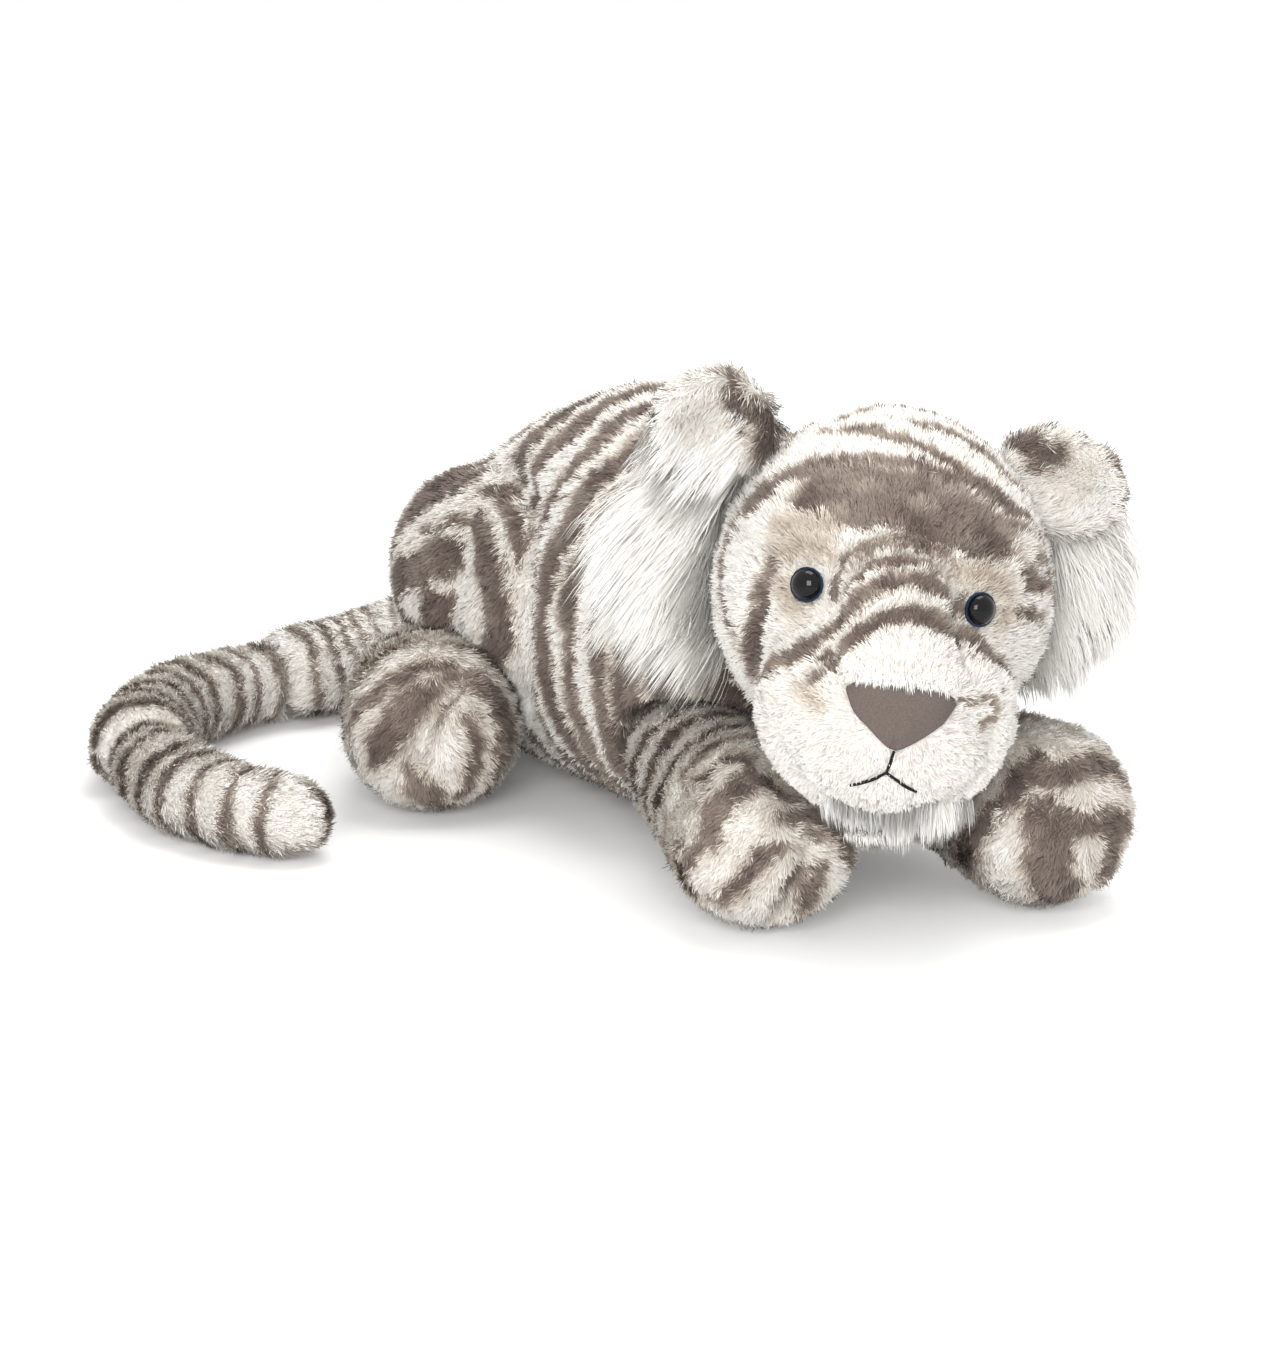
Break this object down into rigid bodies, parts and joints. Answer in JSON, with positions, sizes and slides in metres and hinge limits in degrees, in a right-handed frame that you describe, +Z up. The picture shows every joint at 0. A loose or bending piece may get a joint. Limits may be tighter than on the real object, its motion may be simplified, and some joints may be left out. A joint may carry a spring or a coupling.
{
  "type": "plush tiger",
  "caption": "Stuffed plush tiger lying on its belly, with a raised head that turns and lifts, splayed paws and a curled tail.",
  "frame": {"origin": "on the floor under the middle of the belly, on the flat where the belly rests", "axes": "+Y from the nose to the rump, +X to the tiger's left, +Z up"},
  "size_m": [0.3347, 0.4478, 0.21],
  "materials": {
    "striped_plush": "dense pile",
    "white_plush": "dense pile",
    "long_plush": "long silky pile",
    "ear_plush": "dense pile",
    "nose_suede": "short nap",
    "mouth_thread": "twisted thread",
    "eye_black": "gloss",
    "iris_blue": "gloss",
    "lock_washer": "satin",
    "filling": "fibre",
    "bean_bag": "woven"
  },
  "bodies": {
    "body": {"body_skin": "striped_plush", "body_filling": "filling", "rump_bean_bag": "bean_bag", "haunch_right_skin": "striped_plush", "haunch_right_filling": "filling", "haunch_left_skin": "striped_plush", "haunch_left_filling": "filling"},
    "neck": {"neck_skin": "striped_plush", "neck_filling": "filling"},
    "head": {"head_skin": "striped_plush", "muzzle_skin": "white_plush", "nose_bridge_skin": "striped_plush", "head_filling": "filling", "eye_right_dome": "eye_black", "eye_right_iris": "iris_blue", "eye_right_washer": "lock_washer", "eye_left_dome": "eye_black", "eye_left_iris": "iris_blue", "eye_left_washer": "lock_washer", "nose_patch": "nose_suede", "mouth_stitch_centre": "mouth_thread", "mouth_stitch_right": "mouth_thread", "mouth_stitch_left": "mouth_thread", "ear_right_lining": "long_plush", "ear_right_back": "ear_plush", "ear_left_lining": "long_plush", "ear_left_back": "ear_plush", "cheek_ruff_right": "long_plush", "cheek_ruff_left": "long_plush", "chin_tuft": "long_plush"},
    "front_leg_right": {"front_leg_right_skin": "striped_plush", "front_leg_right_filling": "filling", "front_leg_right_bean_bag": "bean_bag"},
    "front_leg_left": {"front_leg_left_skin": "striped_plush", "front_leg_left_filling": "filling", "front_leg_left_bean_bag": "bean_bag"},
    "hind_foot_right": {"hind_foot_right_skin": "striped_plush", "hind_foot_right_filling": "filling", "hind_foot_right_bean_bag": "bean_bag"},
    "hind_foot_left": {"hind_foot_left_skin": "striped_plush", "hind_foot_left_filling": "filling", "hind_foot_left_bean_bag": "bean_bag"},
    "tail_base": {"tail_base_skin": "striped_plush", "tail_base_filling": "filling"},
    "tail_middle": {"tail_middle_skin": "striped_plush", "tail_middle_filling": "filling"},
    "tail_end": {"tail_end_skin": "striped_plush", "tail_end_filling": "filling"}
  },
  "joints": [
    {"name": "head_turn", "type": "hinge", "parent": "body", "child": "neck", "pos_m": [-0.00299, -0.1501, 0.12191], "axis": [0, 0, 1], "range_deg": [-10, 10]},
    {"name": "head_lift", "type": "hinge", "parent": "neck", "child": "head", "pos_m": [-0.00299, -0.1501, 0.12191], "axis": [-0.9063, 0.4226, 0], "range_deg": [0, 15]},
    {"name": "front_leg_right_swing", "type": "hinge", "parent": "body", "child": "front_leg_right", "pos_m": [-0.04012, -0.07257, 0.04175], "axis": [0, 0, -1], "range_deg": [0, 40]},
    {"name": "front_leg_left_swing", "type": "hinge", "parent": "body", "child": "front_leg_left", "pos_m": [0.04012, -0.10148, 0.04175], "axis": [0, 0, 1], "range_deg": [0, 40]},
    {"name": "hind_foot_right_swing", "type": "hinge", "parent": "body", "child": "hind_foot_right", "pos_m": [-0.07208, 0.08791, 0.0342], "axis": [0, 0, -1], "range_deg": [0, 25]},
    {"name": "hind_foot_left_swing", "type": "hinge", "parent": "body", "child": "hind_foot_left", "pos_m": [0.07208, 0.08791, 0.0342], "axis": [0, 0, 1], "range_deg": [0, 25]},
    {"name": "tail_base_bend", "type": "hinge", "parent": "body", "child": "tail_base", "pos_m": [0, 0.16601, 0.036], "axis": [0, 0, 1], "range_deg": [-20, 0]},
    {"name": "tail_middle_bend", "type": "hinge", "parent": "tail_base", "child": "tail_middle", "pos_m": [-0.07314, 0.19292, 0.01802], "axis": [0, 0, 1], "range_deg": [-30, 5]},
    {"name": "tail_end_bend", "type": "hinge", "parent": "tail_middle", "child": "tail_end", "pos_m": [-0.17802, 0.12806, 0.01802], "axis": [0, 0, 1], "range_deg": [-30, 10]}
  ]
}
